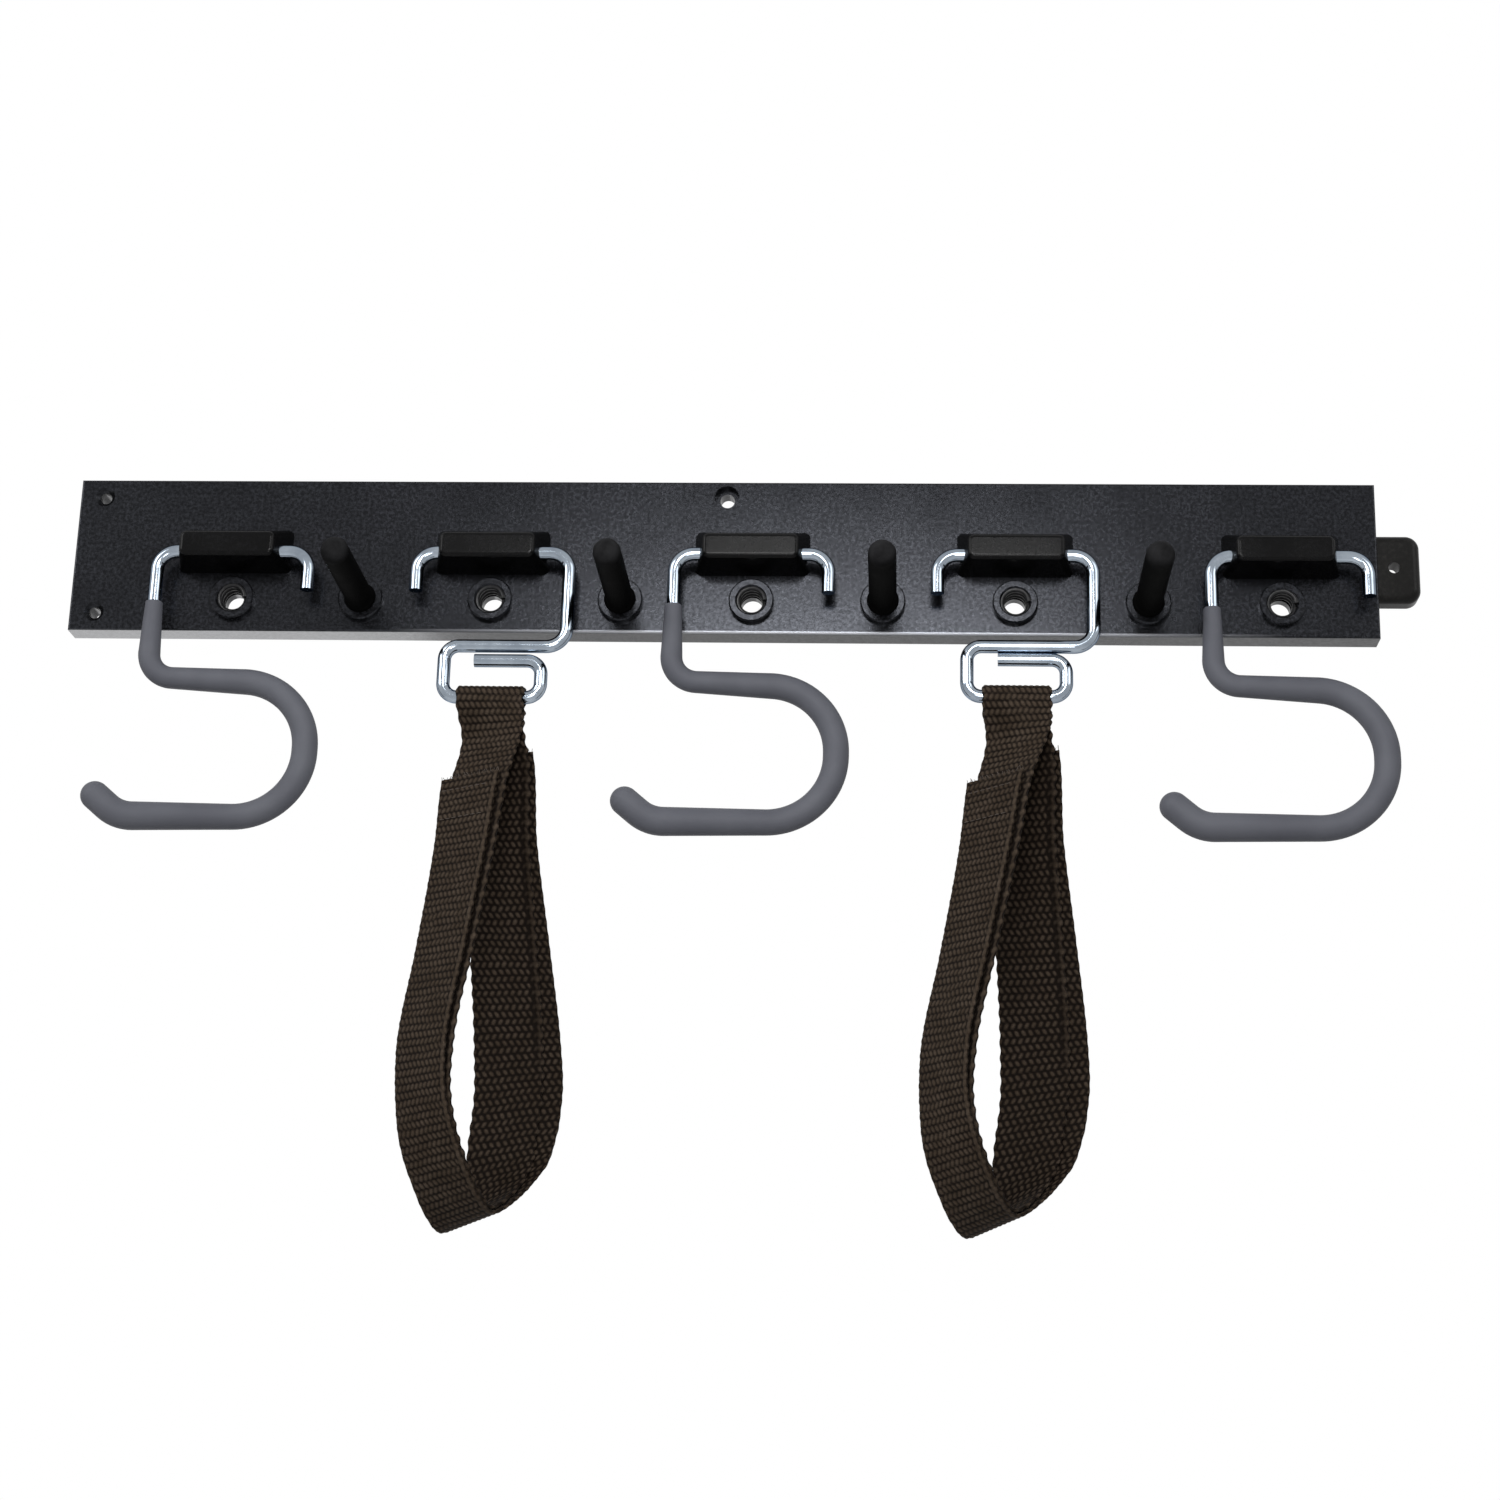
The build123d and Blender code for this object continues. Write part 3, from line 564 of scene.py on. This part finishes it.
def laid_rotation(tree):
    """The turn that lays a thread along its run, with its top away from the webbing."""
    run = add_node(tree, "FunctionNodeAlignRotationToVector", {"axis": "X"}, {
        "Vector": attribute(tree, "run", "FLOAT_VECTOR"),
    })
    top = add_node(tree, "FunctionNodeAlignRotationToVector", {"axis": "Z", "pivot_axis": "X"}, {
        "Rotation": run.outputs["Rotation"], "Vector": attribute(tree, "out", "FLOAT_VECTOR"),
    })
    return top.outputs["Rotation"]


def stitch_tree():
    """One sewn stitch at each point."""
    tree, given, end = new_tree("strap_stitch", {
        "Length": "Float", "Thread": "Float", "Material": "Material",
    })
    bead = add_node(tree, "GeometryNodeMeshUVSphere", None, {"Segments": 8, "Rings": 5, "Radius": 0.5})
    size = add_node(tree, "ShaderNodeCombineXYZ", None, {
        "X": given["Length"], "Y": given["Thread"], "Z": given["Thread"],
    })
    sewn = add_node(tree, "GeometryNodeInstanceOnPoints", None, {
        "Points": given["Geometry"], "Instance": bead.outputs["Mesh"],
        "Rotation": laid_rotation(tree), "Scale": size.outputs["Vector"],
    })
    close_tree(tree, end, sewn.outputs["Instances"], given["Material"])
    return tree


def fray_tree():
    """Short loose yarn ends along a cut edge, of uneven length and direction."""
    tree, given, end = new_tree("strap_fray", {
        "Length": "Float", "Yarn Radius": "Float", "Seed": "Int", "Material": "Material",
    })
    line = add_node(tree, "GeometryNodeCurvePrimitiveBezierSegment", None, {
        "Resolution": 5, "Start": (0.0, 0.0, 0.0), "Start Handle": (0.35, 0.0, 0.0),
        "End Handle": (0.7, 0.1, 0.15), "End": (1.0, 0.25, 0.3),
    })
    size = add_node(tree, "ShaderNodeCombineXYZ", None, {
        "X": given["Length"], "Y": given["Length"], "Z": given["Length"],
    })
    longer = add_node(tree, "GeometryNodeTransform", None, {
        "Geometry": line.outputs["Curve"], "Scale": size.outputs["Vector"],
    })
    round_yarn = add_node(tree, "GeometryNodeCurvePrimitiveCircle", None, {
        "Resolution": 5, "Radius": given["Yarn Radius"],
    })
    yarn = add_node(tree, "GeometryNodeCurveToMesh", None, {
        "Curve": longer.outputs["Geometry"], "Profile Curve": round_yarn.outputs["Curve"], "Fill Caps": True,
    })
    stretch = add_node(tree, "FunctionNodeRandomValue", {"data_type": "FLOAT"}, {"Seed": given["Seed"]})
    stretch.inputs[2].default_value = FRAY_SHORTEST
    stretch.inputs[3].default_value = 1.0
    swing = add_node(tree, "FunctionNodeRandomValue", {"data_type": "FLOAT_VECTOR"}, {"Seed": given["Seed"]})
    swing.inputs[0].default_value = [-angle for angle in FRAY_SWING]
    swing.inputs[1].default_value = FRAY_SWING
    loose = add_node(tree, "FunctionNodeEulerToRotation", None, {"Euler": swing.outputs[0]})
    turned = add_node(tree, "FunctionNodeRotateRotation", {"rotation_space": "LOCAL"}, {
        "Rotation": laid_rotation(tree), "Rotate By": loose.outputs["Rotation"],
    })
    placed = add_node(tree, "GeometryNodeInstanceOnPoints", None, {
        "Points": given["Geometry"], "Instance": yarn.outputs["Mesh"],
        "Rotation": turned.outputs["Rotation"], "Scale": stretch.outputs[1],
    })
    close_tree(tree, end, placed.outputs["Instances"], given["Material"])
    return tree


def strap_rows(turn, lean):
    """Centres and across directions of the loop from the eye's middle, in millimetres."""
    rows = []
    step = (180.0 - 2.0 * WRAP_START) / WRAP_STEPS
    for i in range(WRAP_STEPS + 1):
        angle = math.radians(180.0 - WRAP_START - step * i)
        centre = Vector((0.0, -math.cos(angle), math.sin(angle))) * WRAP_RADIUS
        rows.append((centre, Vector((1.0, 0.0, 0.0))))
    for right, behind, above, row_turn, tilt in LOOP_ROUTE:
        turned_by = turn * min(1.0, -above / STRAP_TURN_DROP)
        centre = Matrix.Rotation(math.radians(-turned_by), 3, "Z") @ Vector((right, behind, above))
        centre.x -= above * math.tan(math.radians(lean))
        level = Vector((math.cos(math.radians(tilt)), 0.0, math.sin(math.radians(tilt))))
        rows.append((centre, Matrix.Rotation(math.radians(-row_turn - turned_by), 3, "Z") @ level))
    return rows


def smooth_loop(values, lengths):
    """A smooth closed line through values that are lengths apart."""
    count = len(values)
    slopes = [(values[(i + 1) % count] - values[i]) / lengths[i] for i in range(count)]
    bends = []
    for i in range(count):
        before, after = lengths[i - 1], lengths[i]
        bends.append((slopes[i - 1] * after + slopes[i] * before) / (before + after))
    line = []
    for i in range(count):
        nearer, further = values[i], values[(i + 1) % count]
        for k in range(SPAN_STEPS):
            t = k / SPAN_STEPS
            line.append(
                nearer * (2 * t ** 3 - 3 * t ** 2 + 1) + further * (3 * t ** 2 - 2 * t ** 3)
                + bends[i] * lengths[i] * (t ** 3 - 2 * t ** 2 + t)
                + bends[(i + 1) % count] * lengths[i] * (t ** 3 - t ** 2)
            )
    return np.array(line)


def unit(vectors):
    return vectors / np.linalg.norm(vectors, axis=1, keepdims=True)


def distances(line):
    """How far along a line each of its points is."""
    runs = np.linalg.norm(np.diff(line[:, MIDDLE], axis=0), axis=1)
    return np.concatenate([[0.0], np.cumsum(runs)])


def read_line(line, wanted):
    """All columns of a line at the wanted distances."""
    place = distances(line)
    return np.column_stack([np.interp(wanted, place, column) for column in line.T])


def strap_lines(turn, lean):
    """The lines of the loop and of the cover ply."""
    rows = strap_rows(turn, lean)
    centres = [row[0] for row in rows]
    lengths = [(centres[(i + 1) % len(rows)] - centres[i]).length for i in range(len(rows))]
    points = smooth_loop([np.array(c) for c in centres], lengths)
    across = unit(smooth_loop([np.array(row[1]) for row in rows], lengths))
    ahead = np.roll(points, -1, axis=0) - np.roll(points, 1, axis=0)
    outward = unit(np.cross(ahead, across))
    wrap_rows = WRAP_STEPS + 1
    route_row = np.arange(len(points)) / SPAN_STEPS - wrap_rows
    loop = np.column_stack([points, across, outward, route_row])

    first = (wrap_rows + COVER_FIRST) * SPAN_STEPS
    last = (wrap_rows + COVER_LAST) * SPAN_STEPS
    cover = loop[first:last + 1].copy()
    shift = np.interp(cover[:, ROUTE_ROW], range(COVER_FIRST, COVER_LAST + 1), COVER_SHIFT)
    cover[:, MIDDLE] += cover[:, OUTWARD] * PLY_OFFSET + cover[:, ACROSS] * shift[:, None]
    return loop, cover


def paired(count):
    """The nearest even number, so that the weave's staggered rows meet where a loop closes."""
    return 2 * max(1, round(count / 2))


def ribbon_faces(corner, columns, closed):
    """Four-sided faces between the rows of a ribbon, with faces over its ends unless it closes."""
    here = corner if closed else corner[:-1]
    ahead = np.roll(corner, -1, axis=0) if closed else corner[1:]
    sides = [here, ahead, np.roll(ahead, -1, axis=1), np.roll(here, -1, axis=1)]
    faces = np.stack(sides, axis=-1).reshape(-1, 4).tolist()
    if not closed:
        for row, forward in ((corner[0], True), (corner[-1], False)):
            under = np.concatenate([row[:1], row[:columns:-1], row[columns:columns + 1]])
            for k in range(columns):
                cap = [row[k], row[k + 1], under[k + 1], under[k]]
                cap = [int(v) for v in dict.fromkeys(cap)]
                faces.append(cap if forward else cap[::-1])
    return faces


def ribbon_base(name, line, eye, closed, role):
    """A plain ribbon along a line, with the values that the weave is worked out from."""
    if closed:
        line = np.vstack([line, line[:1]])
    length = distances(line)[-1]
    weave_rows = paired(length / ROW_PITCH)
    rows = read_line(line, np.linspace(0.0, length, weave_rows * ROW_STEPS + 1))
    if closed:
        rows = rows[:-1]
    centre = rows[:, None, MIDDLE]
    across = unit(rows[:, ACROSS])[:, None]
    outward = unit(rows[:, OUTWARD])[:, None]

    columns = COLUMNS * COLUMN_STEPS
    side = np.linspace(-STRAP_WIDTH / 2, STRAP_WIDTH / 2, columns + 1)
    ring_side = np.concatenate([side, side[-2:0:-1]])
    ring_face = np.concatenate([np.ones(columns + 1), -np.ones(columns - 1)])
    near_edge = np.clip((np.abs(ring_side) - STRAP_WIDTH / 2) / EDGE_ROUND + 1.0, 0.0, 1.0)
    fullness = np.sqrt(1.0 - near_edge ** 2)
    lift = outward * (ring_face * fullness)[None, :, None]
    places = centre + across * ring_side[None, :, None] + lift * CORE_HALF
    left_teeth, right_teeth = EDGE_TEETH[role]
    edge = across * (np.where(ring_side > 0, right_teeth, -left_teeth) * near_edge)[None, :, None]

    count, ring = places.shape[:2]
    shows = np.interp(rows[:, ROUTE_ROW], *zip(*ROLL_SHOWS[role]))
    curls = 1.0 - ROLL_CURLS[role] * (0.5 - 0.5 * np.cos(np.arange(count) * math.pi / ROW_STEPS))
    in_roll = (ring_side - STRAP_WIDTH / 2 + ROLL_WIDTH) / ROLL_WIDTH
    hump = np.where(in_roll > 0, np.sqrt(np.clip(1.0 - (2.0 * in_roll - 1.0) ** 2, 0.0, 1.0)), 0.0)
    roll = (shows * curls)[:, None] * hump
    woven = 1.0 - shows[:, None] * np.where(in_roll > -ROLL_GROOVE[role] / ROLL_WIDTH, 1.0, 0.0)

    base = bpy.data.meshes.new(name + "_base")
    faces = ribbon_faces(np.arange(count * ring).reshape(count, ring), columns, closed)
    base.from_pydata((places.reshape(-1, 3) * MM + np.array(eye)).tolist(), [], faces)
    row_length = length / weave_rows
    add_values(base, "along", np.repeat(np.arange(count) * (row_length / ROW_STEPS), ring) * MM)
    add_values(base, "across", np.tile(ring_side, count) * MM)
    add_values(base, "inside", np.tile(np.where(ring_face < 0, 1.0, 0.0), count))
    add_values(base, "woven", woven)
    add_values(base, "roll", roll)
    add_directions(base, "lift", lift)
    add_directions(base, "edge", edge)
    return base, row_length * MM, length * MM


def joint_place(name):
    return Vector(next(j["pos_m"] for j in frame["joints"] if j["name"] == name))


def row_across(line, distance, side_places, lift, eye, backwards=False):
    """Points across a line at a distance from its start or its end, and the line's columns there."""
    wanted = distances(line)[-1] - distance if backwards else distance
    row = read_line(line, [wanted])[0]
    spots = [(row[MIDDLE] + row[ACROSS] * s + row[OUTWARD] * lift) * MM + np.array(eye) for s in side_places]
    return spots, row


weave_tree = webbing_weave_tree()
thread_tree = socket_thread_tree()
sewing_tree = stitch_tree()
loose_yarn_tree = fray_tree()

for number, (turn, lean) in enumerate(zip(STRAP_TURNS, STRAP_LEANS), 1):
    eye = joint_place(f"strap_{number}_swing")
    loop_line, cover_line = strap_lines(turn, lean)
    for role, line, closed in (("loop", loop_line, True), ("cover", cover_line, False)):
        name = f"strap_{role}_webbing_{number}"
        base, row_pitch, length = ribbon_base(name, line, eye, closed, role)
        ply = grow(name, base, weave_tree, {
            "Row Pitch": row_pitch, "Column Pitch": STRAP_WIDTH / COLUMNS * MM,
            "Bead Pitch": STRAP_WIDTH / BEADS * MM, "Slant": SLANT, "Relief": RELIEF * MM,
            "Unevenness": UNEVENNESS * MM, "Scallop": SCALLOP * MM, "Material": webbing_brown,
        })
        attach(ply, f"strap_{number}")
        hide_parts(f"strap_{role}_{number}")

    spots, runs, tops = [], [], []
    sides = np.arange(-STITCH_SPAN / 2, STITCH_SPAN / 2, STITCH_PITCH)
    for distance in STITCH_ROWS:
        for backwards in (False, True):
            found, row = row_across(cover_line, distance, sides, STITCH_LIFT, eye, backwards)
            spots += found
            runs += [row[ACROSS]] * len(found)
            tops += [row[OUTWARD]] * len(found)
    name = f"strap_stitches_{number}"
    stitches = grow(name, base_points(name, spots, {"run": runs, "out": tops}), sewing_tree, {
        "Length": STITCH_LENGTH * MM, "Thread": STITCH_THREAD * MM, "Material": thread_brown,
    })
    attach(stitches, f"strap_{number}")

    spots, runs, tops = [], [], []
    sides = np.linspace(-FRAY_REACH * STRAP_WIDTH, FRAY_REACH * STRAP_WIDTH, FRAY_COUNT)
    for backwards in (False, True):
        found, row = row_across(cover_line, 0.0, sides, 0.0, eye, backwards)
        off_end = np.cross(row[ACROSS], row[OUTWARD]) * (1.0 if backwards else -1.0)
        spots += found
        runs += [off_end] * len(found)
        tops += [row[OUTWARD]] * len(found)
    name = f"strap_fray_{number}"
    fray = grow(name, base_points(name, spots, {"run": runs, "out": tops}), loose_yarn_tree, {
        "Length": FRAY_LENGTH * MM, "Yarn Radius": FRAY_YARN * MM, "Seed": number, "Material": thread_brown,
    })
    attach(fray, f"strap_{number}")

mouths = []
for mount in record["mounts"]:
    if mount["name"].startswith("socket_"):
        x, _, z = mount["pos_m"]
        mouths.append((x, -THREAD_START * MM, z))
socket_threads = grow("socket_threads", base_points("socket_threads", mouths), thread_tree, {
    "Turns": THREAD_TURNS, "Radius": THREAD_RADIUS * MM, "Depth": (THREAD_START - THREAD_END) * MM,
    "Rib Radius": THREAD_RIB * MM, "Material": lit_thread_black,
})
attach(socket_threads, "rail")

# Camera at the photograph's place
PHOTO_PIXELS = 1500.0
FOCUS_PIXELS = 2729.72
CAMERA_PLACE = Vector((0.0730, -0.9865, -0.3753))
CAMERA_RIGHT = Vector((0.9983, 0.0521, 0.0255))
CAMERA_DOWN = Vector((0.0092, 0.2927, -0.9562))
lens = bpy.data.cameras.new("photo_camera")
lens.sensor_width = 36.0
lens.lens = lens.sensor_width * FOCUS_PIXELS / PHOTO_PIXELS
lens.clip_end = 100.0
camera = bpy.data.objects.new("photo_camera", lens)
camera_back = CAMERA_RIGHT.cross(-CAMERA_DOWN)
turned_axes = Matrix((CAMERA_RIGHT, -CAMERA_DOWN, camera_back)).transposed()
camera.matrix_world = Matrix.Translation(CAMERA_PLACE) @ turned_axes.to_4x4()
bpy.context.scene.collection.objects.link(camera)
bpy.context.scene.camera = camera


def soft_lamp(name, place, aim, size, watts):
    """A lamp with a wide, even face, which the camera doesn't see."""
    lamp = bpy.data.lights.new(name, "AREA")
    lamp.shape = "RECTANGLE"
    lamp.size = size[0]
    lamp.size_y = size[1]
    lamp.energy = watts
    holder = bpy.data.objects.new(name, lamp)
    holder.location = place
    holder.visible_camera = False
    holder.rotation_euler = (Vector(aim) - Vector(place)).to_track_quat("-Z", "Y").to_euler()
    bpy.context.scene.collection.objects.link(holder)


soft_lamp("left_lamp", place=(-1.45, -1.15, 0.80), aim=(0.0, 0.0, -0.08), size=(1.0, 1.0), watts=19.0)
soft_lamp("right_lamp", place=(1.45, -1.15, 0.80), aim=(0.05, 0.0, -0.08), size=(1.0, 1.0), watts=9.0)
soft_lamp("front_lamp", place=(0.02, -0.80, 0.165), aim=(0.02, 0.0, 0.0), size=(0.32, 0.16), watts=4.4)
soft_lamp("camera_lamp", place=(0.06, -1.10, -0.30), aim=(0.02, 0.0, -0.05), size=(0.3, 0.3), watts=2.6)
soft_lamp("left_card", place=(-0.50, 1.0, -0.42), aim=(-0.2, 0.0, -0.03), size=(0.4, 0.4), watts=0.7)


def seen_or_mirrored(tree):
    """One where the camera sees something, directly or in a shiny or clear surface, and zero otherwise."""
    paths = add_node(tree, "ShaderNodeLightPath").outputs
    mirrored = math_node(tree, "MAXIMUM", paths["Is Glossy Ray"], paths["Is Transmission Ray"])
    return math_node(tree, "MAXIMUM", paths["Is Camera Ray"], mirrored)


ROOM_LIGHT = 0.30            # strength of the room's light on the object
ROOM_SEEN = 1.0              # and of the white that is seen behind it
world = bpy.data.worlds.new("studio")
world.use_nodes = True
sky = world.node_tree
sky.nodes.clear()
room_light = add_node(sky, "ShaderNodeBackground", None, {"Color": (*WHITE, 1.0), "Strength": ROOM_LIGHT})
white_room = add_node(sky, "ShaderNodeBackground", None, {"Color": (*WHITE, 1.0), "Strength": ROOM_SEEN})
either = add_node(sky, "ShaderNodeMixShader", None, {"Fac": seen_or_mirrored(sky)})
sky.links.new(room_light.outputs[0], either.inputs[1])
sky.links.new(white_room.outputs[0], either.inputs[2])
room = add_node(sky, "ShaderNodeOutputWorld")
sky.links.new(either.outputs[0], room.inputs["Surface"])
bpy.context.scene.world = world

FLOOR_DROP = 1.2
FLOOR_HALF = 2.4
FLOOR_GLOW = 0.58            # makes the floor as pale as the room, shadows apart
floor_corners = [
    (x * FLOOR_HALF, y * FLOOR_HALF, -FLOOR_DROP) for x, y in ((-1, -1), (1, -1), (1, 1), (-1, 1))
]
floor_mesh = bpy.data.meshes.new("studio_floor")
floor_mesh.from_pydata(floor_corners, [], [(0, 1, 2, 3)])
floor_finish, floor_nodes, floor_shader, floor_place = new_finish("pale_floor", {
    "Specular IOR Level": 0.1, "Roughness": 0.8, "Emission Color": (*WHITE, 1.0),
})
floor_tone = tint(floor_nodes, noise(floor_nodes, floor_place, per_metre=6.0), FLOOR_DARK, FLOOR_PALE)
floor_nodes.links.new(floor_tone, floor_shader.inputs["Base Color"])
floor_glow = math_node(floor_nodes, "MULTIPLY", seen_or_mirrored(floor_nodes), FLOOR_GLOW)
floor_nodes.links.new(floor_glow, floor_shader.inputs["Emission Strength"])
floor_mesh.materials.append(floor_finish)
floor = bpy.data.objects.new("studio_floor", floor_mesh)
bpy.context.scene.collection.objects.link(floor)

bpy.context.scene.view_settings.view_transform = "Standard"
